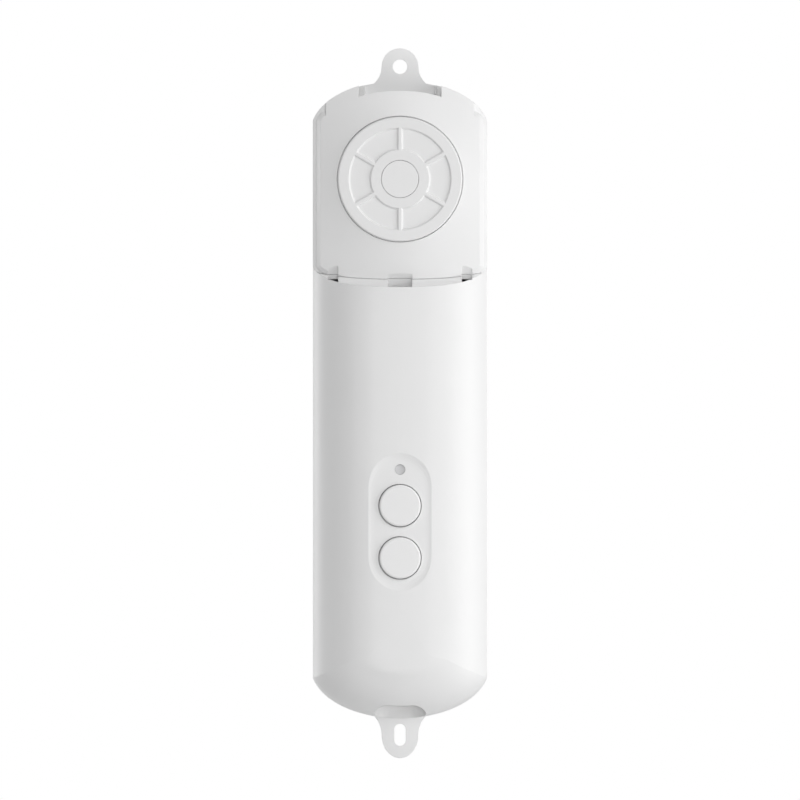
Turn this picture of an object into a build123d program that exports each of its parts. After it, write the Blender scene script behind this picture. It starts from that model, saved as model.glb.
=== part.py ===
from build123d import *
from math import acos, asin, atan2, cos, degrees, pi, radians, sin, sqrt
import os

# A motor that pulls the bead chain of a roller blind. It hangs on a wall by its two ears.
# Millimetres. +X is right, +Z is up, and the back face lies at Y = 0, so a depth d is Y = -d.

# Case
case_width = 44.0
case_depth = 36.0
case_wall = 1.8
back_wall = 2.0
front_wall = 2.2
end_height = 67.7
end_rise = 12.9
end_overhang = 0.5
parting_depth = 12.0
shoulder_width = 17.0
shoulder_depth = 11.0
shoulder_steps = 6
dome_length = 15.5
crown_rise = 0.1
crown_turn = 84.0
crown_length = 15.0
crown_shares = (0.8, 0.55, 0.3, 0.1)
back_round = 0.6
parting_groove = 0.3
seam_drop = 27.2
seam_slope = 0.51
ledge_thickness = 3.6
fit_gap = 0.15
move_gap = 0.3

# Ears
ear_thickness = 2.0
ear_half_width = 4.65
ear_flare = 3.0
ear_root_sink = 1.3
hook_hole_radius = 1.85
hook_hole_rise = 3.7
slot_width = 2.9
slot_length = 5.6
slot_drop = 4.4
slot_ear_tip = 5.9

# Notch in the top, where both strands of the chain come out
notch_back_half = 8.8
notch_front_half = 10.7
notch_inset = 2.7

# Chain wheel
wheel_height = 55.6
disc_side = 6.25
disc_proud = 0.6
disc_round = 0.45
disc_thickness = 3.6
drum_radius = 8.5
drum_length = 6.0
flange_radius = 11.0
flange_thickness = 1.5
hub_radius = 5.0
hub_length = 0.8
bead_radius = 2.25
bead_pitch = 6.0
bead_count = 8
bead_room = 0.2
cord_groove_width = 2.2
cord_groove_depth = 1.4
pocket_inner = 7.3
pocket_edge = 2.75
pocket_depth = 0.45
pocket_slant = 0.42
rib_half_top = 0.34
rib_count = 6
cap_radius = 4.7
cap_thickness = 1.3
cap_round = 0.12
wheel_screw_radius = 1.25
wheel_screw_head = 2.7
wheel_screw_head_height = 1.5
wheel_screw_length = 9.0

# Chain cover
window_gap = 0.15
window_round = 0.25
window_lip = 0.5
window_lap = 0.25
window_seat = 0.4
cone_slope = 0.315
cover_wall = 1.8
rim_width = 0.8
rim_step = 1.2
rim_bevel = 1.15
cover_side_wall = 2.2
shoulder_start = 1.5
shoulder_rise = 3.5
shoulder_inset = 2.45
chain_slot_half = 2.8
latch_lift = 1.8
latch_ramp_rise = 3.4
latch_ramp_depth = 1.6
latch_inset = 5.1
latch_ramp_half = 1.3
latch_hole_height = 0.7
peg_edge = 0.5
peg_radius = 1.3
peg_gap = 0.08
pull_ramp_half = 3.05
pull_ramp_rise = 3.4

# Gear room
deck_thickness = 2.0
deck_skirt = 1.4
deck_drop = 16.7
chain_guide_inner = 11.7
chain_guide_wall = 1.5
chain_guide_start = 195.0
chain_guide_sweep = 150.0
stripper_half = 3.4
stripper_gap = 0.9
shaft_radius = 3.0
shaft_running_gap = 0.05
bush_radius = 5.0
bush_flange_radius = 6.2
bush_flange = 1.0
rear_bush_length = 2.7
rear_boss_radius = 6.8
clip_thickness = 0.8
clip_radius = 4.6

# Bevel gears
gear_module = 0.75
gear_teeth = 24
pinion_teeth = 12
gear_face = 4.0
tooth_addendum = 0.52
tooth_clearance = 0.2
tooth_slack = 0.08
pressure_angle = 20.0
gear_rim = 1.0
gear_hub_radius = 5.0
gear_hub_length = 2.2
pinion_hub_radius = 4.0
pinion_hub_length = 5.2

# Motor and gearbox, in line under the pinion
motor_radius = 11.5
motor_depth = 14.0
gearbox_drop = 22.0
gearbox_nose_radius = 4.6
gearbox_nose = 1.4
motor_top = 16.0
motor_length = 27.0
motor_cap = 2.0
can_slack = 0.4
output_radius = 2.0
magnet_radius = 5.2
magnet_thickness = 1.4
hall_board_thickness = 1.0
hall_board_radius = 8.2
hall_sensor_height = 1.1
hall_sensor_half = 1.4
hall_sensor_half_width = 1.0
terminal_height = 2.6
terminal_x = 6.0
terminal_half_width = 1.1
terminal_half_thickness = 0.25
strap_height = 4.0
strap_width = 8.0
strap_thickness = 1.4
strap_foot = 5.6
strap_screw_inset = 2.2
cradle_half = 17.0
rear_cradle_drop = 3.9
rear_cradle_width = 5.0

# Battery
cell_side_gap = 1.8
cell_foot_gap = 6.5
cell_top = -20.2
cell_gap = 0.4
cell_crown = 0.8
cell_rib_width = 3.0
link_half = 3.0
link_thickness = 0.2
retainer_thickness = 1.4
retainer_side = 4.8
retainer_gap = 0.3

# Buttons and lamp
panel_height = -30.9
panel_width = 16.7
panel_length = 34.7
panel_sink = 0.4
panel_slant = 1.85
panel_wall = 0.2
panel_shares = (0, 0.4, 0.8, 1.2, 1.6)
button_radius = 5.25
button_gap = 0.2
button_stand = 0.8
button_round = 0.5
button_flange = 0.6
button_flange_lip = 0.9
button_travel = 0.5
button_up_height = -26.8
button_down_height = -40.0
lamp_height = -17.7
lamp_radius = 1.25
lamp_sink = 0.35

# Main board
board_inset = 4.9
board_thickness = 1.6
board_side = 7.4
board_top = -12.9
board_foot_gap = 7.5
tongue_step = 6.2
tongue_gap = 2.6
switch_size = 6.0
switch_height = 1.1
plunger_radius = 1.6
radio_width = 13.0
radio_length = 17.0
radio_rise = 16.0
radio_board = 0.8
radio_can_height = 2.2
radio_margin = 0.8
radio_antenna = 5.0
lamp_chip = 0.8
lamp_chip_half = 0.8

# Charging socket
recess_width = 13.1
recess_height = 7.4
recess_depth = 4.4
recess_wall = 1.2
socket_width = 8.94
socket_height = 3.2
socket_length = 7.3
socket_wall = 0.3
contact_half = 2.8
contact_inset = 0.6
contact_tail = 0.5

# Screws: heads, shanks and the posts that they hold in
post_radius = 2.8
case_post_radius = 3.2
deck_post_radius = 2.5
board_post_radius = 2.4
board_post_inset = 2.8
head_radius = 1.9
head_height = 1.3
drive_radius = 0.85
shank_radius = 1.0
shank_gap = 0.05
clear_gap = 0.3
case_screw_length = 15.0
deck_screw_length = 8.0
strap_screw_length = 6.0
retainer_screw_length = 4.5
board_screw_grip = 1.4
deck_post_side = 7.0
deck_post_rise = 0.3
deck_post_drop = 12.1
case_post_side = 5.7
case_post_drop = 4.4
case_post_mid = -9.0
case_post_foot_side = 9.6
case_post_foot_gap = 3.0
board_post_edge = 2.6
retainer_post_side = 6.4
retainer_post_high = -16.4
retainer_post_gap = 3.2
retainer_post_radius = 2.2

# Leads
lead_radius = 0.6
lead_bend = 1.8
lead_level = -17.2
lead_gap = 0.2
plug_half = 3.4
plug_height = 4.6
plug_depth = 4.0

# Sizes worked out from those above
sides = (-1, 1)
plain_edges = (GeomType.CIRCLE, GeomType.LINE)
half_width = case_width / 2
flat_half = half_width - shoulder_width
end_half = half_width + end_overhang
apex_height = end_height + end_rise
dome_start = apex_height - dome_length
seam_height = wheel_height - seam_drop
corner_rise = seam_slope * shoulder_depth
cover_back = parting_depth + move_gap
panel_floor = case_depth - panel_sink
lip_front = case_depth - front_wall - 2 * fit_gap
lip_back = lip_front - button_flange
cone_front = case_depth - disc_proud
lip_floor = cone_front - window_lip
recess_floor = recess_depth - apex_height
ledge_back = motor_depth + motor_radius + move_gap
chain_radius = bead_pitch / 2 / sin(pi / bead_count)
disc_radius = half_width - disc_side
pocket_outer = disc_radius - pocket_edge
disc_back = case_depth - disc_thickness
drum_back = disc_back - drum_length
chain_depth = disc_back - drum_length / 2
flange_back = drum_back - flange_thickness
wheel_back = flange_back - hub_length
bush_front = wheel_back - move_gap
deck_front = bush_front - bush_flange
deck_back = deck_front - deck_thickness
deck_bottom = wheel_height - deck_drop
window_radius = disc_radius + window_gap
shoulder_low = end_height + shoulder_start
shoulder_high = shoulder_low + shoulder_rise
shoulder_half = half_width - rim_width - shoulder_inset
latch_ramp_low = seam_height + latch_lift
latch_x = half_width - latch_inset
peg_x = window_radius + peg_radius + peg_edge
gear_radius = gear_module * gear_teeth / 2
pinion_radius = gear_module * pinion_teeth / 2
gearbox_top = wheel_height - gearbox_drop
gearbox_length = gearbox_top - motor_top
nose_top = gearbox_top + gearbox_nose
motor_foot = motor_top - motor_length
rear_cradle_height = gearbox_top - rear_cradle_drop
cell_radius = (half_width - case_wall - cell_side_gap - cell_gap / 2) / 2
cell_depth = back_wall + move_gap + cell_radius
cell_x = cell_radius + cell_gap / 2
cell_foot = recess_floor + cell_foot_gap
cell_length = cell_top - cell_foot
retainer_back = cell_depth + cell_radius + retainer_gap
retainer_half = half_width - retainer_side
board_front = case_depth - board_inset
board_back = board_front - board_thickness
board_half = half_width - board_side
board_bottom = recess_floor + board_foot_gap
tongue_half = board_half - tongue_step
tongue_bottom = recess_floor + tongue_gap
charge_depth = board_back - socket_height / 2
plug_back = board_back - plug_depth
case_head = clear_gap
case_screw_end = case_head + head_height + case_screw_length
case_post_x = half_width - case_post_side
case_post_high = seam_height - case_post_drop
case_post_foot_x = half_width - case_post_foot_side
case_post_foot = recess_floor + case_post_foot_gap
deck_post_x = half_width - deck_post_side
deck_post_high = end_height + deck_post_rise
deck_post_low = wheel_height - deck_post_drop
board_post_x = board_half - board_post_edge
retainer_post_x = half_width - retainer_post_side
retainer_post_foot = recess_floor + retainer_post_gap


def seam_at(depth):
    """Height of the slanting seam between the lower shell and the chain cover."""
    return seam_height + seam_slope * (case_depth - depth)


def slab(sketch, near, far):
    """A front view outline, thickened from one depth to another."""
    return extrude(Plane.XZ.offset(near) * sketch, amount=far - near)


def rod(x, height, radius, near, far):
    """A round bar that runs from the back towards the front."""
    return slab(Pos(x, height) * Circle(radius), near, far)


def upright(x, depth, radius, low, high):
    """A round bar that stands up."""
    return Pos(x, -depth, low) * extrude(Circle(radius), amount=high - low)


def block(x_low, x_high, near, far, low, high):
    """A box between two values of X, depth and height."""
    middle = Pos((x_low + x_high) / 2, -(near + far) / 2, (low + high) / 2)
    return middle * Box(x_high - x_low, far - near, high - low)


def outline(inset=0.0):
    """The body seen from the front: straight sides that cut off a slightly wider ellipse at each end."""
    half, reach, rise = half_width - inset, end_half - inset, end_rise - inset
    cut = degrees(acos(half / reach))
    corner = end_height + rise * sin(radians(cut))
    top = EllipticalCenterArc((0, end_height), reach, rise, cut, arc_size=180 - 2 * cut)
    left = Line((-half, corner), (-half, -corner))
    foot = EllipticalCenterArc((0, -end_height), reach, rise, 180 + cut, arc_size=180 - 2 * cut)
    right = Line((half, -corner), (half, corner))
    return make_face([top, left, foot, right])


def head_outline(inset, top):
    """The chain cover seen from the front, whose foot follows the curve of the seam."""
    half, low = half_width - inset, seam_height + inset
    wide, tall = shoulder_width - inset, corner_rise - inset
    corner = seam_height + corner_rise
    left = Line((-half, top), (-half, corner))
    left_corner = EllipticalCenterArc((-flat_half, corner), wide, tall, 180, arc_size=90)
    foot = Line((-flat_half, low), (flat_half, low))
    right_corner = EllipticalCenterArc((flat_half, corner), wide, tall, 270, arc_size=90)
    right = Line((half, corner), (half, top))
    return make_face([left, left_corner, foot, right_corner, right, Line((half, top), (-half, top))])


def head_shape(inset):
    """The chain cover's outline, closed at the top by the end of the body."""
    return head_outline(inset, apex_height) & outline(inset)


def plateau_shape():
    """The raised field of the chain cover, which runs out to the edge only at the top."""
    side = half_width - rim_width
    low_part = head_outline(rim_width, shoulder_low)
    bend = EllipticalCenterArc(
        (shoulder_half, shoulder_low), side - shoulder_half, shoulder_high - shoulder_low, 0, arc_size=90
    )
    other = EllipticalCenterArc(
        (-shoulder_half, shoulder_low), side - shoulder_half, shoulder_high - shoulder_low, 90, arc_size=90
    )
    edges = [
        Line((-side, shoulder_low), (side, shoulder_low)),
        bend,
        Line((shoulder_half, shoulder_high), (shoulder_half, apex_height)),
        Line((shoulder_half, apex_height), (-shoulder_half, apex_height)),
        Line((-shoulder_half, apex_height), (-shoulder_half, shoulder_high)),
        other,
    ]
    return (low_part + make_face(edges)) & outline()


def pod_face(inset, half, apex):
    """The lower body's outline at one level of its front, with its half width and the end of its foot."""
    share = half / (half_width - inset)
    reach, rise = share * (end_half - inset), share * (end_rise - inset)
    cut = degrees(acos(half / reach))
    high, low = seam_at(parting_depth) + case_wall, rise - apex
    corner = low - rise * sin(radians(cut))
    foot = EllipticalCenterArc((0, low), reach, rise, 180 + cut, arc_size=180 - 2 * cut)
    left = Line((-half, high), (-half, corner))
    right = Line((half, corner), (half, high))
    return make_face([left, foot, right, Line((half, high), (-half, high))])


def pod(inset=0.0, front_inset=0.0, near=parting_depth):
    """The lower body in front of the parting line: rounded shoulders, a domed foot and a crowned front."""
    straight, front = case_depth - shoulder_depth, case_depth - front_inset
    side, foot, lift = shoulder_width - inset, dome_length - inset, front - straight - crown_rise
    levels = []
    for step in range(shoulder_steps + 1):
        turn = radians(crown_turn * step / shoulder_steps)
        half, apex = flat_half + side * cos(turn), dome_start + foot * cos(turn)
        depth = straight + lift * sin(turn)
        levels.append(Plane.XZ.offset(depth) * pod_face(inset, half, apex))
    for share in crown_shares:
        climb = (1 - share**2) / (1 - crown_shares[-1] ** 2)
        face = pod_face(inset, half * share, apex - crown_length * (1 - share))
        levels.append(Plane.XZ.offset(depth + (front - depth) * climb) * face)
    base = pod_face(inset, half_width - inset, apex_height - inset)
    return slab(base, near, straight) + loft(levels)


def seam_side(lift):
    """Everything under the slanting seam, raised by a lift."""
    reach = case_depth + case_width
    low = -2 * apex_height
    points = [(-reach, seam_at(reach) + lift), (0, seam_at(0) + lift), (0, low), (-reach, low)]
    return extrude(Plane.YZ * make_face(Polyline(*points, close=True)), amount=case_width, both=True)


def notch_tool(grow=0.0):
    """The space of the wide notch in the top, whose two end walls lean outwards."""
    back, front = notch_back_half + grow, notch_front_half + grow
    far = case_depth + case_wall
    points = [(-back, -ear_thickness), (back, -ear_thickness), (front, -far), (-front, -far)]
    wedge = Pos(0, 0, end_height) * extrude(make_face(Polyline(*points, close=True)), amount=2 * end_rise)
    return wedge - slab(outline(notch_inset + grow), 0, far + 1)


def cone_block(front, near):
    """Everything behind the conical face that rises to the wheel's window at a given depth."""
    reach = window_radius + (front - near) / cone_slope
    points = [(0, -near), (0, -front), (window_radius, -front), (reach, -near)]
    profile = Pos(0, 0, wheel_height) * make_face(Polyline(*points, close=True))
    return revolve(profile, Axis((0, 0, wheel_height), (0, 1, 0)))


def ring_sector(inner, outer, start, sweep):
    """A piece of a flat ring around the wheel's axis, in the front view."""
    a, b = radians(start), radians(start + sweep)
    corners = [(r * cos(t), r * sin(t)) for r, t in ((inner, a), (outer, a), (outer, b), (inner, b))]
    edges = [
        Line(corners[0], corners[1]),
        CenterArc((0, 0), outer, start, sweep),
        Line(corners[2], corners[3]),
        CenterArc((0, 0), inner, start, sweep),
    ]
    return Pos(0, wheel_height) * make_face(edges)


def ear(sign, hole_height, tip_height):
    """A flat ear with a round end that spreads where it joins the body."""
    base = apex_height - end_rise / 2
    drop = hole_height - (apex_height - ear_root_sink)
    bend = (ear_flare**2 + drop**2) / (2 * ear_flare)
    foot_x = ear_half_width + ear_flare
    foot_z = hole_height - drop
    tip = EllipticalCenterArc((0, hole_height), ear_half_width, tip_height - hole_height, 0, arc_size=180)
    turn = degrees(asin(drop / bend))
    left = CenterArc((-ear_half_width - bend, hole_height), bend, -turn, turn)
    right = CenterArc((ear_half_width + bend, hole_height), bend, 180, turn)
    edges = [
        tip,
        left,
        Line((-foot_x, foot_z), (-foot_x, base)),
        Line((-foot_x, base), (foot_x, base)),
        Line((foot_x, base), (foot_x, foot_z)),
        right,
    ]
    flat = make_face(edges)
    return slab(flat if sign > 0 else mirror(flat, about=Plane.XZ), 0, ear_thickness)


def screw(x, height, head_depth, direction, length):
    """A pan head screw along the depth; direction is 1 where it points to the front."""
    ends = sorted((head_depth, head_depth + direction * head_height))
    head = rod(x, height, head_radius, *ends)
    start = head_depth + direction * head_height
    run = sorted((start, start + direction * length))
    recess_ends = sorted((head_depth, head_depth + direction * head_height / 2))
    recess = rod(x, height, drive_radius, *recess_ends)
    return head + rod(x, height, shank_radius, *run) - recess


def case_posts():
    """Front view places of the screws that join the two shells."""
    places = [(s * case_post_x, z) for z in (case_post_high, case_post_mid) for s in sides]
    return places + [(s * case_post_foot_x, case_post_foot) for s in sides]


def deck_posts():
    """Front view places of the gear deck's screws."""
    return [(s * deck_post_x, z) for z in (deck_post_high, deck_post_low) for s in sides]


def retainer_posts():
    """Front view places of the cell retainer's screws."""
    return [(s * retainer_post_x, retainer_post_high) for s in sides] + [(0, retainer_post_foot)]


def board_posts():
    """Front view places of the main board's screws."""
    heights = (board_top - board_post_inset, board_bottom + board_post_inset)
    return [(s * board_post_x, z) for z in heights for s in sides]


def strap_posts():
    """Places of the motor strap's screws."""
    return [(s * (motor_radius + strap_foot - strap_screw_inset), strap_height) for s in sides]


def cradle(height, width):
    """A rib across the back shell, hollowed to take the round motor."""
    low, high = height - width / 2, height + width / 2
    rib = block(-cradle_half, cradle_half, back_wall / 2, motor_depth, low, high)
    return rib - upright(0, motor_depth, motor_radius + fit_gap, low - 1, high + 1)


def cell_rib(height):
    """A rib across the back shell, hollowed for both battery cells."""
    low, high = height - cell_rib_width / 2, height + cell_rib_width / 2
    rib = block(-half_width + case_wall / 2, half_width - case_wall / 2, back_wall / 2, cell_depth, low, high)
    for s in sides:
        rib -= upright(s * cell_x, cell_depth, cell_radius + fit_gap, low - 1, high + 1)
    return rib


def back_shell():
    """The tray at the wall, with both ears, the cradles and the screw posts."""
    room = slab(outline(case_wall), back_wall, parting_depth + 1) - notch_tool(case_wall)
    body = slab(outline(), 0, parting_depth)
    shell = fillet(body.faces().sort_by(Axis.Y)[-1].edges(), back_round) - room
    inside = slab(outline(case_wall / 2), back_wall / 2, case_depth)
    shell += ear(1, apex_height + hook_hole_rise, apex_height + hook_hole_rise + ear_half_width)
    shell += ear(-1, apex_height + slot_drop, apex_height + slot_drop + slot_ear_tip)
    for x, z in case_posts():
        shell += rod(x, z, case_post_radius, back_wall / 2, parting_depth) & inside
    for x, z in deck_posts():
        shell += rod(x, z, deck_post_radius, back_wall / 2, deck_back) & inside
    for x, z in retainer_posts():
        shell += rod(x, z, retainer_post_radius, back_wall / 2, retainer_back) & inside
    shell += rod(0, wheel_height, rear_boss_radius, back_wall / 2, back_wall + rear_bush_length)
    shell += cradle(strap_height, strap_width) + cradle(rear_cradle_height, rear_cradle_width)
    for z in (cell_top - cell_length / 4, cell_top - 3 * cell_length / 4):
        shell += cell_rib(z)
    shell -= notch_tool()
    shell -= rod(0, wheel_height, bush_radius, back_wall, deck_back)
    shell -= rod(0, apex_height + hook_hole_rise, hook_hole_radius, -1, ear_thickness + 1)
    slot = SlotCenterToCenter(slot_length - slot_width, slot_width, rotation=90)
    shell -= slab(Pos(0, -apex_height - slot_drop) * slot, -1, ear_thickness + 1)
    for x, z in case_posts():
        shell -= rod(x, z, head_radius + clear_gap, -1, case_head + head_height)
        shell -= rod(x, z, shank_radius + clear_gap, 0, parting_depth + 1)
    pilot = shank_radius + shank_gap
    for x, z in deck_posts():
        shell -= rod(x, z, pilot, deck_front - deck_screw_length - clear_gap, deck_back + 1)
    for x, z in retainer_posts():
        shell -= rod(x, z, pilot, retainer_back - retainer_screw_length, retainer_back + 1)
    for x, z in strap_posts():
        shell -= rod(x, z, pilot, motor_depth - strap_screw_length, motor_depth + 1)
    return shell


def recess_shape(grow=0.0):
    """The pill-shaped mouth around the charging socket, seen from below."""
    pill = SlotCenterToCenter(recess_width - recess_height, recess_height + 2 * grow)
    return Pos(0, -charge_depth) * pill


def panel_tool():
    """The shallow pill-shaped dish around the lamp and the buttons, with hollow sides."""
    spread = panel_slant * (sqrt(panel_sink / panel_wall) - 1)
    straight = panel_length - panel_width - 2 * spread
    levels = []
    for share in panel_shares:
        width = panel_width - 2 * panel_slant * (1 - share)
        pill = Pos(0, panel_height) * SlotCenterToCenter(straight, width, rotation=90)
        levels.append(Plane.XZ.offset(panel_floor + panel_wall * share**2) * pill)
    return loft(levels, ruled=True)


def ledge():
    """A slanting wall under the seam, which closes the lower shell behind the chain cover's foot."""
    far, drop = case_depth + 1, ledge_thickness * sqrt(1 + seam_slope**2)
    points = [
        (-far, seam_at(far) + 1), (-ledge_back, seam_at(ledge_back) + 1),
        (-ledge_back, seam_at(ledge_back) - drop), (-far, seam_at(far) - drop),
    ]
    return extrude(Plane.YZ * make_face(Polyline(*points, close=True)), amount=case_width, both=True)


def ramps():
    """The three finger ramps of the cover's foot: their middles, half widths, lower ends and heights."""
    latches = [(s * latch_x, latch_ramp_half, latch_ramp_low, latch_ramp_rise) for s in sides]
    return latches + [(0, pull_ramp_half, seam_height, pull_ramp_rise)]


def latch_holes():
    """The small openings under the two outer ramps, cut off by the curve of the seam."""
    low, high = latch_ramp_low - latch_hole_height, latch_ramp_low + fit_gap
    left, right = [
        block(s * latch_x - latch_ramp_half, s * latch_x + latch_ramp_half, ledge_back, case_depth, low, high)
        for s in sides
    ]
    return (left + right) & slab(head_outline(0, end_height), 0, case_depth)


def front_shell():
    """The lower front shell, from the parting line to the slanting seam."""
    shell = pod() - pod(case_wall, front_wall, parting_depth - 1)
    core = pod(case_wall / 2, front_wall / 2)
    shell += ledge() & core
    for x, z in case_posts():
        shell += rod(x, z, post_radius, parting_depth, case_depth) & core
    for x, z in board_posts():
        shell += rod(x, z, board_post_radius, board_front, case_depth) & core
    low = -apex_height + case_wall / 2
    wall = Pos(0, 0, low) * extrude(recess_shape(recess_wall), amount=recess_floor + recess_wall - low)
    shell += wall & core
    shell -= Pos(0, 0, -2 * apex_height) * extrude(recess_shape(), amount=2 * apex_height + recess_floor)
    mouth = block(
        -socket_width / 2 - fit_gap,
        socket_width / 2 + fit_gap,
        charge_depth - socket_height / 2 - fit_gap,
        charge_depth + socket_height / 2 + fit_gap,
        recess_floor - 1,
        recess_floor + recess_wall + 1,
    )
    shell -= mouth
    shell -= panel_tool()
    shell -= latch_holes()
    for x, half, low, rise in ramps():
        shell -= ramp(x, half, low, rise) - block(x - half - 1, x + half + 1, 0, case_depth + 1, 0, low)
    groove_front = parting_depth + parting_groove
    groove = slab(outline(-1), parting_depth - 1, groove_front)
    shell -= groove - slab(outline(parting_groove), parting_depth - 2, groove_front + 1)
    for z in (button_up_height, button_down_height):
        shell -= rod(0, z, button_radius + button_gap, board_front, case_depth)
    shell -= rod(0, lamp_height, lamp_radius + fit_gap / 3, board_front, case_depth)
    pilot = shank_radius + shank_gap
    for x, z in case_posts():
        shell -= rod(x, z, pilot, parting_depth - 1, case_screw_end + clear_gap)
    for x, z in board_posts():
        shell -= rod(x, z, pilot, board_front - 1, board_front + board_screw_grip + clear_gap)
    return shell & seam_side(0)


def chain_cover():
    """The cover over the chain, which pulls off forwards to lay the chain in."""
    field = slab(plateau_shape(), cover_back, case_depth) & cone_block(cone_front, cover_back)
    rim = [e for e in field.faces().filter_by(GeomType.CONE)[0].edges() if e.geom_type not in plain_edges]
    field = chamfer([e for e in rim if e.center().Z < shoulder_low], rim_bevel)
    outer = slab(head_shape(0), cover_back, case_depth) & cone_block(cone_front - rim_step, cover_back)
    outer = outer + field - seam_side(fit_gap)
    floor_lift = fit_gap + cover_wall * sqrt(1 + seam_slope**2)
    deep = slab(head_shape(cover_side_wall), cover_back - 1, deck_front + move_gap)
    chain_room = slab(head_shape(cover_side_wall), deck_front, case_depth)
    chain_room &= cone_block(cone_front - cover_wall, deck_front)
    chain_room -= seam_side(floor_lift)
    lower = slab(head_outline(cover_side_wall, end_height), cover_back - 1, deck_front + move_gap)
    cover = outer - notch_tool()
    for space in (deep, lower, chain_room):
        cover -= space - notch_tool(cover_wall)
    cover -= window_tool()
    for s in sides:
        x = s * chain_radius
        cover -= block(
            x - chain_slot_half, x + chain_slot_half, cover_back - 1,
            chain_depth + chain_slot_half, end_height, apex_height,
        )
    for x, half, low, rise in ramps():
        cover -= ramp(x, half, low, rise)
    cover -= latch_holes()
    peg_root = cone_front - cover_wall - cone_slope * (peg_x - window_radius)
    for s in sides:
        cover += rod(s * peg_x, wheel_height, peg_radius, deck_back, peg_root)
    return cover


def window_tool():
    """The round window for the wheel's disc, with a rounded rim and a lip over the disc's flange."""
    rim, far, wide = cone_front - window_round, case_depth + 1, window_radius + window_round
    seat = window_radius + window_seat
    edges = [
        Line((0, -deck_front), (seat, -deck_front)),
        Line((seat, -deck_front), (seat, -lip_floor)),
        Line((seat, -lip_floor), (window_radius, -lip_floor)),
        Line((window_radius, -lip_floor), (window_radius, -rim)),
        CenterArc((wide, -rim), window_round, 180, 90),
        Line((wide, -cone_front), (wide, -far)),
        Line((wide, -far), (0, -far)),
        Line((0, -far), (0, -deck_front)),
    ]
    return revolve(Pos(0, 0, wheel_height) * make_face(edges), Axis((0, 0, wheel_height), (0, 1, 0)))


def ramp(x, half, low, rise):
    """A finger ramp in the cover's foot, flush at its top and deepest at its lower end."""
    surface = cone_front - cone_slope * (sqrt(x**2 + (wheel_height - low - rise) ** 2) - window_radius)
    foot = surface - cone_slope * rise - latch_ramp_depth
    side = Polyline(
        (-surface, low + rise), (-foot, low), (-foot, low - rise), (-case_depth, low - rise),
        (-case_depth, low + rise), close=True,
    )
    return Pos(x, 0, 0) * extrude(Plane.YZ * make_face(side), amount=half, both=True)


def wheel_deck():
    """The inner cover over the gears, with the chain's guide and stripper."""
    inset = cover_side_wall + move_gap
    region = head_shape(inset) & (Pos(0, deck_bottom + case_width) * Rectangle(case_width, 2 * case_width))
    body = slab(region, parting_depth + move_gap, deck_front) - notch_tool(cover_wall + move_gap)
    hollow = slab(head_outline(inset + deck_skirt, end_height), parting_depth, deck_back)
    hollow += slab(head_shape(inset + deck_skirt), parting_depth, deck_back)
    body -= hollow - notch_tool(cover_wall + move_gap + deck_skirt)
    guide_outer = chain_guide_inner + chain_guide_wall
    guide = ring_sector(chain_guide_inner, guide_outer, chain_guide_start, chain_guide_sweep)
    body += slab(guide, deck_front - deck_thickness / 2, disc_back - 2 * move_gap)
    low = wheel_height + flange_radius + 2 * move_gap
    high = apex_height - notch_inset - cover_wall - stripper_gap
    stripper = Pos(0, (low + high) / 2) * Rectangle(2 * stripper_half, high - low)
    body += slab(stripper, deck_front - deck_thickness / 2, disc_back - 2 * move_gap)
    body -= rod(0, wheel_height, bush_radius, deck_back - 1, deck_front + 1)
    for x, z in deck_posts():
        body -= rod(x, z, shank_radius + clear_gap, deck_back - 1, deck_front + 1)
    for s in sides:
        body -= rod(s * peg_x, wheel_height, peg_radius + peg_gap, deck_back - 1, deck_front + 1)
    return body


def wheel_pocket(start):
    """One of the shallow fields between the ribs of the disc, with slanting walls."""
    def field(inner, outer, rib, depth):
        corners = []
        for r, end in ((inner, 0), (outer, 0), (outer, 1), (inner, 1)):
            lean = degrees(asin(rib / r))
            corners.append((r, start + lean if end == 0 else start + 360 / rib_count - lean))
        points = [(r * cos(radians(a)), r * sin(radians(a))) for r, a in corners]
        edges = [
            Line(points[0], points[1]),
            CenterArc((0, 0), outer, corners[1][1], corners[2][1] - corners[1][1]),
            Line(points[2], points[3]),
            CenterArc((0, 0), inner, corners[0][1], corners[3][1] - corners[0][1]),
        ]
        return Plane.XZ.offset(depth) * (Pos(0, wheel_height) * make_face(edges))
    slant, high, low = pocket_slant, case_depth + pocket_depth, case_depth - pocket_depth
    top = field(pocket_inner - slant, pocket_outer + slant, rib_half_top - slant, high)
    floor = field(pocket_inner + slant, pocket_outer - slant, rib_half_top + slant, low)
    return loft([floor, top], ruled=True)


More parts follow.
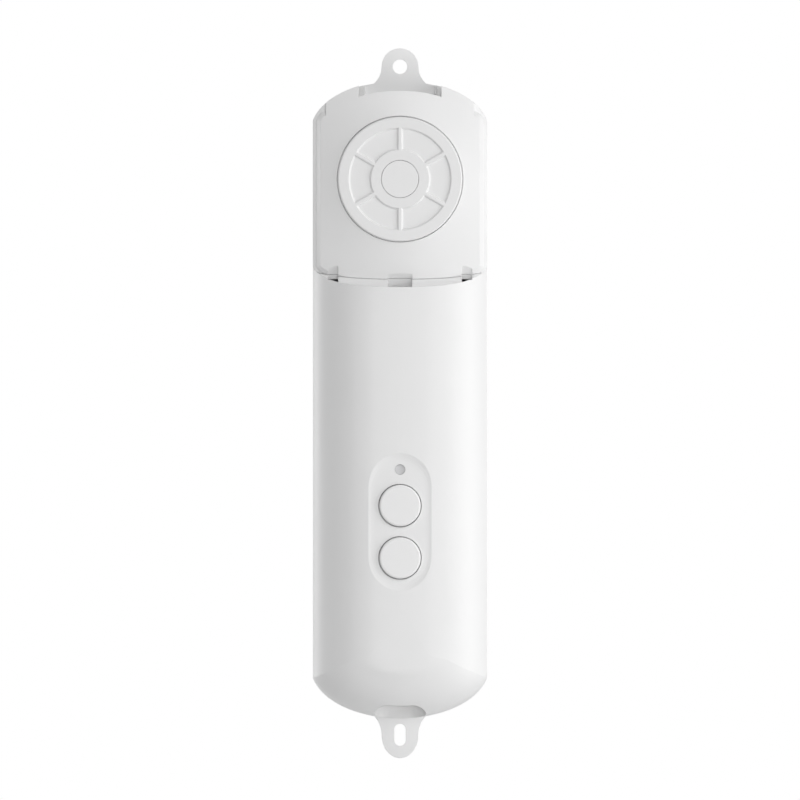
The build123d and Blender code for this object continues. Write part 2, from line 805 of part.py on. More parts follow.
def chain_wheel():
    """The wheel that drives the chain: front disc, drum with bead seats, rear flange and hub."""
    wheel = rod(0, wheel_height, disc_radius, disc_back, case_depth)
    wheel = fillet(wheel.faces().sort_by(Axis.Y)[0].edges(), disc_round)
    wheel += rod(0, wheel_height, window_radius + window_lap, disc_back, lip_floor - fit_gap)
    wheel += rod(0, wheel_height, drum_radius, drum_back, disc_back)
    wheel += rod(0, wheel_height, flange_radius, flange_back, drum_back)
    wheel += rod(0, wheel_height, hub_radius, wheel_back, flange_back)
    groove_half = cord_groove_width / 2
    groove = rod(0, wheel_height, drum_radius + 1, chain_depth - groove_half, chain_depth + groove_half)
    wheel -= groove - rod(0, wheel_height, drum_radius - cord_groove_depth, 0, case_depth)
    for step in range(bead_count):
        angle = 2 * pi * step / bead_count
        x, z = chain_radius * cos(angle), chain_radius * sin(angle)
        wheel -= Pos(x, -chain_depth, wheel_height + z) * Sphere(bead_radius + bead_room)
    for step in range(rib_count):
        wheel -= wheel_pocket(90 + 360 * step / rib_count)
    cap_floor = case_depth - cap_thickness
    head_floor = cap_floor - wheel_screw_head_height
    wheel -= rod(0, wheel_height, cap_radius + fit_gap / 2, cap_floor, case_depth + 1)
    wheel -= rod(0, wheel_height, wheel_screw_head + fit_gap, head_floor, case_depth)
    wheel -= rod(0, wheel_height, wheel_screw_radius + fit_gap, drum_back, case_depth)
    wheel -= rod(0, wheel_height, shaft_radius, 0, head_floor - cover_wall / 2)
    return wheel


def wheel_screw():
    """The screw that pulls the wheel onto its shaft."""
    head_floor = case_depth - cap_thickness - wheel_screw_head_height
    head = rod(0, wheel_height, wheel_screw_head, head_floor, head_floor + wheel_screw_head_height - fit_gap)
    slot = block(
        -wheel_screw_head, wheel_screw_head, head_floor + wheel_screw_head_height / 2, case_depth,
        wheel_height - clear_gap, wheel_height + clear_gap,
    )
    return head + rod(0, wheel_height, wheel_screw_radius, head_floor - wheel_screw_length, head_floor) - slot


def drive_shaft():
    """The shaft that carries the bevel gear and the wheel."""
    head_floor = case_depth - cap_thickness - wheel_screw_head_height
    front = head_floor - cover_wall / 2
    shaft = rod(0, wheel_height, shaft_radius, back_wall + move_gap, front)
    return shaft - rod(0, wheel_height, wheel_screw_radius, head_floor - wheel_screw_length, front + 1)


def bevel(teeth, mate, bore, hub, hub_length, phase):
    """A straight bevel gear with its pitch apex at the origin and its back towards +Z."""
    pitch = gear_module * teeth / 2
    cone = atan2(teeth, mate)
    reach = pitch / sin(cone)
    small = (reach - gear_face) / reach
    dedendum = tooth_addendum + tooth_clearance
    root_r = reach * sin(cone) - dedendum * cos(cone)
    root_z = reach * cos(cone) + dedendum * sin(cone)
    back = root_z + gear_rim
    points = [
        (bore, root_z * small), (root_r * small, root_z * small), (root_r, root_z), (root_r, back),
        (hub, back), (hub, back + hub_length), (bore, back + hub_length),
    ]
    gear = revolve(Plane.XZ * make_face(Polyline(*points, close=True)), Axis.Z)
    half = pi * gear_module / 4 - tooth_slack
    lean = radians(pressure_angle) - pi / 2 / (teeth / cos(cone))
    ends = []
    for share in (1.0, small):
        level = Plane(
            origin=(reach * share * sin(cone), 0, reach * share * cos(cone)),
            x_dir=(0, 1, 0),
            z_dir=(sin(cone), 0, cos(cone)),
        )
        foot, tip = -(dedendum + tooth_clearance), tooth_addendum
        wide = half - foot * sin(lean) / cos(lean)
        narrow = half - tip * sin(lean) / cos(lean)
        up = -1 if level.y_dir.X < 0 else 1
        shape = Polyline(
            (-wide * share, up * foot * share), (wide * share, up * foot * share),
            (narrow * share, up * tip * share), (-narrow * share, up * tip * share), close=True,
        )
        ends.append(level * make_face(shape))
    tooth = loft(ends, ruled=True)
    for step in range(teeth):
        gear += Rot(0, 0, 360 * (step + phase) / teeth) * tooth
    return gear


def bevel_gear():
    """The larger bevel gear, behind the pinion's axis, on the drive shaft."""
    apex = Plane(origin=(0, -motor_depth, wheel_height), x_dir=(0, 0, -1), z_dir=(0, 1, 0))
    return apex * bevel(gear_teeth, pinion_teeth, shaft_radius, gear_hub_radius, gear_hub_length, 0)


def bevel_pinion():
    """The pinion on the gearbox shaft, with a tooth space where the gear has a tooth."""
    apex = Plane(origin=(0, -motor_depth, wheel_height), x_dir=(0, 1, 0), z_dir=(0, 0, -1))
    return apex * bevel(pinion_teeth, gear_teeth, output_radius, pinion_hub_radius, pinion_hub_length, 0.5)


def main_board():
    """The circuit board behind the buttons, with a tongue for the charging socket."""
    plate = Pos(0, (board_top + board_bottom) / 2) * Rectangle(2 * board_half, board_top - board_bottom)
    tongue_length = board_bottom - tongue_bottom + 2
    plate += Pos(0, tongue_bottom + tongue_length / 2) * Rectangle(2 * tongue_half, tongue_length)
    board = slab(plate, board_back, board_front)
    for x, z in board_posts():
        board -= rod(x, z, shank_radius + clear_gap, 0, case_depth)
    return board


def charge_socket():
    """The charging socket: a thin oval tube with a tongue in it."""
    def pill(grow):
        outer = SlotCenterToCenter(socket_width - socket_height, socket_height + 2 * grow)
        return Pos(0, -charge_depth) * outer
    low = recess_floor + fit_gap
    tube = Pos(0, 0, low) * extrude(pill(0), amount=socket_length)
    tube -= Pos(0, 0, low - 1) * extrude(pill(-socket_wall), amount=socket_length)
    tongue = block(
        -contact_half, contact_half, charge_depth - socket_wall, charge_depth + socket_wall,
        low + contact_inset, low + socket_length - contact_tail,
    )
    return tube + tongue


def button(height):
    """A round push button with a flange that keeps it in the shell and a stem behind."""
    cap = rod(0, height, button_radius, lip_back, panel_floor + button_stand)
    cap = fillet(cap.faces().sort_by(Axis.Y)[0].edges(), button_round)
    return cap + rod(0, height, button_radius + button_flange_lip, lip_back, lip_front)


def switch_body(height):
    """The body of a tact switch on the board, open where its plunger moves."""
    half = switch_size / 2
    body = block(-half, half, board_front, board_front + switch_height, height - half, height + half)
    return body - rod(0, height, plunger_radius + fit_gap, board_front + clear_gap / 2, case_depth)


def switch_plunger(height):
    """The plunger of a tact switch, which rests against its button."""
    back = board_front + clear_gap / 2 + button_travel + fit_gap / 3
    return rod(0, height, plunger_radius, back, lip_back)


def cell(side):
    """One of the two round battery cells, with the raised button of its positive end."""
    body = upright(side * cell_x, cell_depth, cell_radius, cell_foot, cell_top - cell_crown)
    body += upright(side * cell_x, cell_depth, cell_radius / 3, cell_foot, cell_top)
    return body


def cell_retainer():
    """The plate that holds the cells down, screwed to posts at its ends."""
    low, high = cell_foot + 2, cell_top - 2
    plate = block(-retainer_half, retainer_half, retainer_back, retainer_back + retainer_thickness, low, high)
    for x, z in retainer_posts():
        near, far = sorted((z, high if z > high else low))
        far = far + 1 if z < low else far
        near = near - 1 if z > high else near
        plate += block(
            x - retainer_post_radius, x + retainer_post_radius,
            retainer_back, retainer_back + retainer_thickness, near, far,
        )
        plate += rod(x, z, retainer_post_radius, retainer_back, retainer_back + retainer_thickness)
    for x, z in retainer_posts():
        plate -= rod(x, z, shank_radius + clear_gap, 0, case_depth)
    return plate


def motor_strap():
    """The metal strap over the motor, with a foot on each side."""
    low, high = strap_height - strap_width / 2, strap_height + strap_width / 2
    inner, outer = motor_radius + fit_gap, motor_radius + fit_gap + strap_thickness
    arch = upright(0, motor_depth, outer, low, high)
    reach = motor_radius + strap_foot
    arch += block(-reach, reach, motor_depth, motor_depth + strap_thickness, low, high)
    arch -= upright(0, motor_depth, inner, low - 1, high + 1)
    arch &= block(-reach, reach, motor_depth, case_depth, low, high)
    for x, z in strap_posts():
        arch -= rod(x, z, shank_radius + clear_gap, 0, case_depth)
    return arch


def hall_board():
    """The small ring board on the gearbox that reads the magnet, with its two sensors."""
    low = gearbox_top
    high = low + hall_board_thickness
    ring = upright(0, motor_depth, hall_board_radius, low, high)
    ring -= upright(0, motor_depth, gearbox_nose_radius + fit_gap, low - 1, high + 1)
    middle = (gearbox_nose_radius + hall_board_radius) / 2
    for s in sides:
        x = s * middle
        ring += block(
            x - hall_sensor_half, x + hall_sensor_half, motor_depth - hall_sensor_half_width,
            motor_depth + hall_sensor_half_width, high, high + hall_sensor_height,
        )
    return ring


def lead(points, radius=lead_radius):
    """One insulated lead along straight runs with round bends; points are X, depth and height."""
    path = FilletPolyline(*[(x, -depth, z) for x, depth, z in points], radius=lead_bend)
    start = Plane(origin=path @ 0, z_dir=path % 0)
    return sweep(start * Circle(radius), path=path)


def group(pieces):
    """Like pieces that share one name, each its own solid."""
    return Compound(children=[solid for piece in pieces for solid in piece.solids()])


def write(name, shape):
    """Saves one named piece."""
    export_step(shape, "parts/" + name + ".step")


os.makedirs("parts", exist_ok=True)

write("back_shell", back_shell())
write("front_shell", front_shell())
write("chain_cover", chain_cover())
write("wheel_deck", wheel_deck())
write("chain_wheel", chain_wheel())
wheel_cap = rod(0, wheel_height, cap_radius, case_depth - cap_thickness, case_depth)
write("wheel_cap", fillet(wheel_cap.faces().sort_by(Axis.Y)[0].edges(), cap_round))
write("wheel_screw", wheel_screw())
write("drive_shaft", drive_shaft())
write("bevel_gear", bevel_gear())
write("bevel_pinion", bevel_pinion())

bush_bore = shaft_radius + shaft_running_gap
front_bush = rod(0, wheel_height, bush_radius, deck_back, deck_front)
front_bush += rod(0, wheel_height, bush_flange_radius, deck_front, bush_front)
write("front_bush", front_bush - rod(0, wheel_height, bush_bore, 0, case_depth))
rear_bush = rod(0, wheel_height, bush_radius, back_wall, back_wall + rear_bush_length)
write("rear_bush", rear_bush - rod(0, wheel_height, bush_bore, 0, case_depth))
clip_front = deck_back - move_gap
shaft_clip = rod(0, wheel_height, clip_radius, clip_front - clip_thickness, clip_front)
write("shaft_clip", shaft_clip - rod(0, wheel_height, shaft_radius, 0, case_depth))

gearbox = upright(0, motor_depth, motor_radius, motor_top, gearbox_top)
gearbox += upright(0, motor_depth, gearbox_nose_radius, gearbox_top, nose_top)
bore_low = gearbox_top - gearbox_length / 2
shaft_bore = upright(0, motor_depth, output_radius + shaft_running_gap, bore_low, nose_top + 1)
write("gearbox", gearbox - shaft_bore)
cone_length = sqrt(gear_radius**2 + pinion_radius**2)
output_top = wheel_height - gear_radius * (1 - gear_face / cone_length)
output_low = bore_low + move_gap
write("output_shaft", upright(0, motor_depth, output_radius, output_low, output_top))
hub_reach = pinion_hub_length + gear_rim + gear_radius + (tooth_addendum + tooth_clearance) * sin(
    atan2(pinion_teeth, gear_teeth)
)
magnet_low = wheel_height - hub_reach - magnet_thickness
magnet = upright(0, motor_depth, magnet_radius, magnet_low, magnet_low + magnet_thickness)
magnet -= upright(0, motor_depth, output_radius, magnet_low - 1, magnet_low + 2 * magnet_thickness)
write("magnet_ring", magnet)
write("hall_board", hall_board())
write("motor_can", upright(0, motor_depth, motor_radius - can_slack, motor_foot + motor_cap, motor_top))
write("motor_cap", upright(0, motor_depth, motor_radius - 2 * can_slack, motor_foot, motor_foot + motor_cap))
terminals = [
    block(
        s * terminal_x - terminal_half_width, s * terminal_x + terminal_half_width,
        motor_depth - terminal_half_thickness, motor_depth + terminal_half_thickness,
        motor_foot - terminal_height, motor_foot,
    )
    for s in sides
]
write("motor_terminals", group(terminals))
write("motor_strap", motor_strap())
strap_head = motor_depth + strap_thickness + head_height
write("strap_screws", group([screw(x, z, strap_head, -1, strap_screw_length) for x, z in strap_posts()]))

write("cell_left", cell(-1))
write("cell_right", cell(1))
links = []
for x_low, x_high, low in (
    (-cell_x - link_half, cell_x + link_half, cell_foot - link_thickness),
    (-cell_x - link_half, -cell_x + link_half, cell_top),
    (cell_x - link_half, cell_x + link_half, cell_top),
):
    near, far = cell_depth - link_half, cell_depth + link_half
    links.append(block(x_low, x_high, near, far, low, low + link_thickness))
write("cell_links", group(links))
write("cell_retainer", cell_retainer())
retainer_head = retainer_back + retainer_thickness + head_height
retainer_screws = [screw(x, z, retainer_head, -1, retainer_screw_length) for x, z in retainer_posts()]
write("retainer_screws", group(retainer_screws))

write("main_board", main_board())
board_head = board_back - head_height
board_screw_length = board_thickness + board_screw_grip
write("board_screws", group([screw(x, z, board_head, 1, board_screw_length) for x, z in board_posts()]))
write("charge_socket", charge_socket())
radio_low = board_bottom + radio_rise
radio_back = board_back - radio_board
radio_half = radio_width / 2
can_half = radio_half - radio_margin
radio = block(-radio_half, radio_half, radio_back, board_back, radio_low, radio_low + radio_length)
radio += block(
    -can_half, can_half, radio_back - radio_can_height, radio_back,
    radio_low + radio_margin, radio_low + radio_length - radio_antenna,
)
write("radio_module", radio)
write("switch_up", switch_body(button_up_height))
write("switch_down", switch_body(button_down_height))
write("switch_plunger_up", switch_plunger(button_up_height))
write("switch_plunger_down", switch_plunger(button_down_height))
write("button_up", button(button_up_height))
write("button_down", button(button_down_height))
lamp_back = board_front + lamp_chip
lamp_low, lamp_high = lamp_height - lamp_chip_half / 2, lamp_height + lamp_chip_half / 2
write("status_lamp", block(-lamp_chip_half, lamp_chip_half, board_front, lamp_back, lamp_low, lamp_high))
write("light_pipe", rod(0, lamp_height, lamp_radius, lamp_back + fit_gap, panel_floor - lamp_sink))

write("case_screws", group([screw(x, z, case_head, 1, case_screw_length) for x, z in case_posts()]))
deck_head = deck_front + head_height
write("deck_screws", group([screw(x, z, deck_head, -1, deck_screw_length) for x, z in deck_posts()]))

plug_low = lead_level - plug_height / 2
write("motor_plug", block(-plug_half, plug_half, plug_back, board_back, plug_low, plug_low + plug_height))
terminal_end = motor_foot - terminal_height
motor_leads = [
    lead([
        (s * terminal_x, motor_depth, terminal_end),
        (s * terminal_x, motor_depth, lead_level),
        (s * plug_half / 2, (motor_depth + plug_back) / 2, lead_level),
        (s * plug_half / 2, plug_back, lead_level),
    ])
    for s in sides
]
write("motor_leads", group(motor_leads))
lead_x = board_post_x - head_radius - lead_radius - lead_gap
battery_leads = [
    lead([
        (s * lead_x, cell_depth, cell_top + link_thickness),
        (s * lead_x, cell_depth, lead_level + lead_radius),
        (s * lead_x, board_back, lead_level + lead_radius),
    ])
    for s in sides
]
write("battery_leads", group(battery_leads))
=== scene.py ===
import math

import bmesh
import bpy
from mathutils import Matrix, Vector


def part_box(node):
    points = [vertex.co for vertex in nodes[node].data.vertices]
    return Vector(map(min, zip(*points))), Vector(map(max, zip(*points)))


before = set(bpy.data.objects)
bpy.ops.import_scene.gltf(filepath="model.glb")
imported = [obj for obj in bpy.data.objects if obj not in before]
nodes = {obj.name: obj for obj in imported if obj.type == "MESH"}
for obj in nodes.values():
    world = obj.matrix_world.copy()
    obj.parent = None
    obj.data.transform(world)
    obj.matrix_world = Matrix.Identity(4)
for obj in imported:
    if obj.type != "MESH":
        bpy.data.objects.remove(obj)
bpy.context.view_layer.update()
mm = 0.001

# Back shell
# The tray that lies on the wall, with a hanging ear at each end and the wide notch in its top. White ABS,
# injection moulded, with a fine spark-eroded skin and edges that the mould leaves a little round.
# Its white is set lighter than the front shell's: painted light, brightening the ears and the notch floor
# that the case shades.
tray_lightened_white = (0.91, 0.91, 0.91, 1)
shell_roughness = 0.45
edge_round = 0.22 * mm
edge_samples = 6
sheen_swing = 0.05
cloud_detail = 3.0
skin_detail = 2.0
skin_strength = 0.6


def add(tree, kind, options=None, inputs=None):
    """Adds a node with its options and its inputs, which are plain values or outputs to link."""
    made = tree.nodes.new(kind)
    for option, value in (options or {}).items():
        setattr(made, option, value)
    for key, value in (inputs or {}).items():
        if isinstance(value, bpy.types.NodeSocket):
            tree.links.new(value, made.inputs[key])
        else:
            made.inputs[key].default_value = value
    return made


def blank(name):
    """A new material, with its tree, its shader and the place on the object that patterns read."""
    material = bpy.data.materials.new(name)
    material.use_nodes = True
    tree = material.node_tree
    place = add(tree, "ShaderNodeTexCoord").outputs["Object"]
    return material, tree, tree.nodes["Principled BSDF"], place


def coated(name, colour, roughness, metallic=0.0, spread=0.02, patch=14 * mm, grain=0.4 * mm,
           depth=0.005 * mm, stretch=(1, 1, 1), rounding=0.0):
    """A solid finish: faint clouds in its colour and sheen, and a fine relief that may be drawn out."""
    material, tree, shader, place = blank(name)
    shader.inputs["Metallic"].default_value = metallic
    cloud = add(
        tree, "ShaderNodeTexNoise", None,
        {"Vector": place, "Scale": 1 / patch, "Detail": cloud_detail},
    ).outputs["Fac"]
    low = tuple(c * (1 - spread) for c in colour[:3]) + (1,)
    high = tuple(min(1.0, c * (1 + spread)) for c in colour[:3]) + (1,)
    tint = add(tree, "ShaderNodeMix", {"data_type": "RGBA"}, {"Factor": cloud, "A": low, "B": high})
    sheen = add(
        tree, "ShaderNodeMapRange", None,
        {"Value": cloud, "To Min": roughness - sheen_swing, "To Max": roughness + sheen_swing},
    )
    drawn = add(tree, "ShaderNodeMapping", None, {"Vector": place, "Scale": stretch})
    skin = add(
        tree, "ShaderNodeTexNoise", None,
        {"Vector": drawn.outputs[0], "Scale": 1 / grain, "Detail": skin_detail},
    )
    relief = add(
        tree, "ShaderNodeBump", None,
        {"Height": skin.outputs["Fac"], "Strength": skin_strength, "Distance": depth},
    )
    if rounding:
        edge = add(tree, "ShaderNodeBevel", {"samples": edge_samples}, {"Radius": rounding})
        tree.links.new(edge.outputs[0], relief.inputs["Normal"])
    tree.links.new(tint.outputs["Result"], shader.inputs["Base Color"])
    tree.links.new(sheen.outputs["Result"], shader.inputs["Roughness"])
    tree.links.new(relief.outputs["Normal"], shader.inputs["Normal"])
    return material


def dress(material, *names):
    """Gives CAD nodes their material."""
    for name in names:
        for slot in nodes[name].material_slots:
            slot.material = material


tray_abs = coated("tray_abs", tray_lightened_white, shell_roughness, rounding=edge_round)
dress(tray_abs, "back_shell")

# Front shell
# The lower front of the case, with the panel round the lamp and buttons and the mouth of the charging
# socket. White ABS as well, held by the six screws that come from the back.
front_white = (0.86, 0.86, 0.86, 1)
front_abs = coated("front_abs", front_white, shell_roughness, rounding=edge_round)
dress(front_abs, "front_shell")

# Chain cover
# The upper front, which pulls off to lay the chain in. Its round window lies round the chain wheel's disc.
# The same ABS from its own mould, pushed onto two pegs.
# Its white is set lighter than the front shell's: painted light, for the extra light on its cone from above
# and below.
cover_lightened_white = (0.88, 0.88, 0.88, 1)
cover_abs = coated("cover_abs", cover_lightened_white, shell_roughness, patch=11 * mm, rounding=edge_round)
dress(cover_abs, "chain_cover")

# Chain wheel
# The wheel that drives the bead chain, with six shallow fields in its disc and eight bead seats behind.
# White acetal, a little smoother than the case, pressed onto the shaft and held by the screw under its cap.
wheel_white = (0.85, 0.85, 0.85, 1)
wheel_roughness = 0.42
wheel_round = 0.12 * mm
wheel_acetal = coated("wheel_acetal", wheel_white, wheel_roughness, patch=8 * mm, rounding=wheel_round)
dress(wheel_acetal, "chain_wheel")

# Wheel cap
# The bare round cap that snaps into the disc's middle over the screw. White acetal, with a finer skin than
# the wheel's.
cap_roughness = 0.38
cap_acetal = coated(
    "cap_acetal", wheel_white, cap_roughness, grain=0.25 * mm, depth=0.003 * mm, rounding=wheel_round
)
dress(cap_acetal, "wheel_cap")

# Buttons
# Two round push buttons with a soft edge, kept in by a flange behind the shell. White ABS, polished a bit
# more than the case.
button_roughness = 0.36
button_abs = coated("button_abs", front_white, button_roughness, patch=6 * mm, rounding=edge_round)
dress(button_abs, "button_up", "button_down")

# Light pipe
# The small rod that carries the lamp's light to the front. Smoky grey acrylic, pressed into its hole.
lens_grey = (0.55, 0.55, 0.56, 1)
lens_roughness = 0.22
lens = coated("lens_acrylic", lens_grey, lens_roughness, spread=0.05, patch=1.5 * mm, depth=0.002 * mm)
dress(lens, "light_pipe")

# Wheel deck and cell retainer
# The inner cover over the gears, with the chain's guide and stripper, and the plate over the battery cells.
# Natural nylon, matt and slightly warm, each held by screws.
inner_white = (0.8, 0.8, 0.78, 1)
inner_roughness = 0.55
inner_nylon = coated(
    "inner_nylon", inner_white, inner_roughness, spread=0.03, grain=0.6 * mm, depth=0.01 * mm
)
dress(inner_nylon, "wheel_deck", "cell_retainer")

# Bevel gear and bevel pinion
# The pair that turns the motor's rotation through a right angle. Greased cream acetal, moulded.
gear_cream = (0.86, 0.82, 0.7, 1)
gear_roughness = 0.3
gear_acetal = coated(
    "gear_acetal", gear_cream, gear_roughness, spread=0.04, patch=4 * mm, depth=0.004 * mm
)
dress(gear_acetal, "bevel_gear", "bevel_pinion")

# Shafts, clip and strap
# The drive shaft, the gearbox's output shaft, the clip on the drive shaft and the strap over the motor.
# Ground and stamped steel, with fine lines that run from front to back.
steel_grey = (0.56, 0.57, 0.58, 1)
steel_roughness = 0.28
steel_lines = (1, 0.15, 1)
ground_steel = coated(
    "ground_steel", steel_grey, steel_roughness, 1.0, spread=0.04, patch=5 * mm, grain=0.3 * mm,
    depth=0.004 * mm, stretch=steel_lines,
)
dress(ground_steel, "drive_shaft", "output_shaft", "shaft_clip", "motor_strap")

# Screws
# Pan head screws in the case, deck, strap, retainer and board, and the one in the wheel. Zinc plated
# steel, bluish and a little cloudy.
zinc_blue = (0.62, 0.64, 0.68, 1)
zinc_roughness = 0.34
zinc = coated("zinc_plate", zinc_blue, zinc_roughness, 1.0, spread=0.08, patch=1.2 * mm, depth=0.004 * mm)
dress(zinc, "wheel_screw", "case_screws", "deck_screws", "strap_screws", "retainer_screws", "board_screws")

# Bushes
# The two plain bearings of the drive shaft, one pressed into the deck and one into the back shell.
# Sintered bronze, porous and oily.
bronze_brown = (0.55, 0.38, 0.2, 1)
bronze_roughness = 0.4
bronze = coated(
    "sintered_bronze", bronze_brown, bronze_roughness, 1.0, spread=0.12, patch=0.8 * mm,
    grain=0.18 * mm, depth=0.02 * mm,
)
dress(bronze, "front_bush", "rear_bush")

# Gearbox and motor can
# The round planetary gearbox and the motor under it. Drawn steel, nickel plated, with faint lines along it.
can_grey = (0.5, 0.5, 0.5, 1)
can_roughness = 0.3
can_lines = (1, 1, 0.06)
drawn_steel = coated(
    "drawn_steel", can_grey, can_roughness, 1.0, spread=0.05, patch=9 * mm, grain=0.25 * mm,
    depth=0.004 * mm, stretch=can_lines,
)
dress(drawn_steel, "gearbox", "motor_can")

# Motor cap
# The end of the motor that holds its brushes. Black glass-filled nylon, clamped in the can.
nylon_black = (0.035, 0.035, 0.038, 1)
nylon_roughness = 0.55
black_nylon = coated(
    "black_nylon", nylon_black, nylon_roughness, spread=0.2, patch=2 * mm, depth=0.012 * mm
)
dress(black_nylon, "motor_cap")

# Motor terminals
# Two brass tags at the motor's foot, stamped, with the leads soldered on.
brass_yellow = (0.72, 0.55, 0.24, 1)
brass_roughness = 0.3
brass = coated("stamped_brass", brass_yellow, brass_roughness, 1.0, spread=0.08, patch=1 * mm)
dress(brass, "motor_terminals")

# Magnet ring
# The ring on the output shaft whose poles the two sensors read. Bonded ferrite, dark and matt.
ferrite_grey = (0.06, 0.06, 0.065, 1)
ferrite_roughness = 0.6
ferrite = coated(
    "bonded_ferrite", ferrite_grey, ferrite_roughness, spread=0.2, patch=0.7 * mm, depth=0.02 * mm
)
dress(ferrite, "magnet_ring")

# Main board and sensor board
# The circuit board behind the buttons and the ring board on the gearbox. Glass epoxy under green solder
# mask, with its copper tracks standing out a little.
mask_green = (0.015, 0.12, 0.05, 1)
mask_roughness = 0.3
track_green = (0.04, 0.24, 0.1, 1)
track_pitch = 2.4 * mm
track_share = 0.16
track_edge = 0.3
track_offset = 0.37
track_squash = 0.7
track_height = 0.04 * mm
track_strength = 0.5


def circuit(name):
    """Green solder mask over a grid of tracks."""
    material, tree, shader, place = blank(name)
    shader.inputs["Roughness"].default_value = mask_roughness
    flat = add(
        tree, "ShaderNodeMapping", None,
        {"Vector": place, "Scale": (1 / track_pitch,) * 3, "Rotation": (math.radians(90), 0, 0)},
    )
    tracks = add(
        tree, "ShaderNodeTexBrick", {"offset": track_offset, "squash": track_squash},
        {
            "Vector": flat.outputs[0], "Color1": mask_green, "Color2": mask_green, "Mortar": track_green,
            "Scale": 1.0, "Mortar Size": track_share / 2, "Mortar Smooth": track_edge,
        },
    )
    relief = add(
        tree, "ShaderNodeBump", None,
        {"Height": tracks.outputs["Fac"], "Strength": track_strength, "Distance": track_height},
    )
    tree.links.new(tracks.outputs["Color"], shader.inputs["Base Color"])
    tree.links.new(relief.outputs["Normal"], shader.inputs["Normal"])
    return material


solder_mask = circuit("solder_mask")
dress(solder_mask, "main_board", "hall_board")

# Radio module
# The small wireless board with its tinned can, soldered behind the main board.
tin_grey = (0.6, 0.6, 0.6, 1)
tin_roughness = 0.32
tin = coated("tinned_can", tin_grey, tin_roughness, 1.0, spread=0.06, patch=2 * mm, depth=0.006 * mm)
dress(tin, "radio_module")

# Switches and their plungers
# The two tact switches under the buttons. Black nylon bodies, soldered to the board, with sliding plungers.
switch_roughness = 0.45
switch_nylon = coated(
    "switch_nylon", nylon_black, switch_roughness, spread=0.15, patch=1 * mm, grain=0.2 * mm
)
dress(switch_nylon, "switch_up", "switch_down", "switch_plunger_up", "switch_plunger_down")

# Status lamp and motor plug
# The light source behind the light pipe and the plug of the motor's leads. Ivory nylon, soldered and
# pushed on.
ivory = (0.84, 0.82, 0.74, 1)
ivory_roughness = 0.4
ivory_nylon = coated("ivory_nylon", ivory, ivory_roughness, patch=1.5 * mm, grain=0.2 * mm)
dress(ivory_nylon, "status_lamp", "motor_plug")

# Charging socket
# The oval socket in the mouth at the foot, soldered to the board's tongue. A nickel plated tube round a
# black tongue with contacts.
socket_grey = (0.6, 0.6, 0.59, 1)
socket_roughness = 0.25
tongue_half_width = 2.85 * mm
tongue_half_thickness = 0.32 * mm
contact_pitch = 0.5 * mm
contact_gold = (0.75, 0.55, 0.22, 1)


def maths(tree, operation, *values):
    """One step of arithmetic on plain values or outputs."""
    return add(tree, "ShaderNodeMath", {"operation": operation}, dict(enumerate(values))).outputs[0]


def chosen(tree, factor, without, where):
    """One colour, or another one where a factor is 1."""
    inputs = {"Factor": factor, "A": without, "B": where}
    return add(tree, "ShaderNodeMix", {"data_type": "RGBA"}, inputs).outputs["Result"]


def socket_finish(name, middle):
    """Plated steel, but black with gold contacts near the middle plane, where the tongue is."""
    material, tree, shader, place = blank(name)
    shader.inputs["Roughness"].default_value = socket_roughness
    apart = add(tree, "ShaderNodeSeparateXYZ", None, {0: place})
    across = maths(tree, "ABSOLUTE", apart.outputs["X"])
    level = maths(tree, "COMPARE", apart.outputs["Y"], middle, tongue_half_thickness)
    inside = maths(tree, "LESS_THAN", across, tongue_half_width)
    tongue = maths(tree, "MULTIPLY", level, inside)
    turn = maths(tree, "PINGPONG", across, contact_pitch / 2)
    stripe = maths(tree, "GREATER_THAN", turn, contact_pitch / 4)
    inner = chosen(tree, stripe, nylon_black, contact_gold)
    tree.links.new(chosen(tree, tongue, socket_grey, inner), shader.inputs["Base Color"])
    tree.links.new(maths(tree, "SUBTRACT", 1.0, tongue), shader.inputs["Metallic"])
    return material


socket_low, socket_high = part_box("charge_socket")
socket_middle = (socket_low[1] + socket_high[1]) / 2
dress(socket_finish("charging_socket", socket_middle), "charge_socket")

# Battery cells
# Two round lithium cells in a blue shrink wrap that stops just short of their nickel plated ends.
wrap_blue = (0.03, 0.14, 0.33, 1)
wrap_roughness = 0.35
nickel_grey = (0.6, 0.58, 0.54, 1)
wrap_margin = 1.2 * mm
ripple_patch = 3 * mm
ripple_detail = 2.0
ripple_height = 0.03 * mm
ripple_strength = 0.5


def wrapped(name, low, high):
    """Shrink wrap between two heights and bare metal beyond them."""
    material, tree, shader, place = blank(name)
    shader.inputs["Roughness"].default_value = wrap_roughness
    height = add(tree, "ShaderNodeSeparateXYZ", None, {0: place}).outputs["Z"]
    wrap = maths(tree, "COMPARE", height, (low + high) / 2, (high - low) / 2 - wrap_margin)
    ripple = add(
        tree, "ShaderNodeTexNoise", None,
        {"Vector": place, "Scale": 1 / ripple_patch, "Detail": ripple_detail},
    )
    relief = add(
        tree, "ShaderNodeBump", None,
        {"Height": ripple.outputs["Fac"], "Strength": ripple_strength, "Distance": ripple_height},
    )
    tree.links.new(chosen(tree, wrap, nickel_grey, wrap_blue), shader.inputs["Base Color"])
    tree.links.new(maths(tree, "SUBTRACT", 1.0, wrap), shader.inputs["Metallic"])
    tree.links.new(relief.outputs["Normal"], shader.inputs["Normal"])
    return material


cell_low, cell_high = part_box("cell_left")
dress(wrapped("cell_wrap", cell_low[2], cell_high[2]), "cell_left", "cell_right")

# Cell links
# Thin nickel strips, spot welded to the ends of the cells.
nickel_roughness = 0.3
nickel = coated("nickel_strip", nickel_grey, nickel_roughness, 1.0, spread=0.06, patch=1.5 * mm)
dress(nickel, "cell_links")

# Motor leads and battery leads
# A red and a black lead from the motor to its plug, and a pair from the cells to the board. Soft vinyl
# skins, soldered at their ends.
lead_red = (0.42, 0.015, 0.012, 1)
lead_black = (0.02, 0.02, 0.022, 1)
vinyl_roughness = 0.4


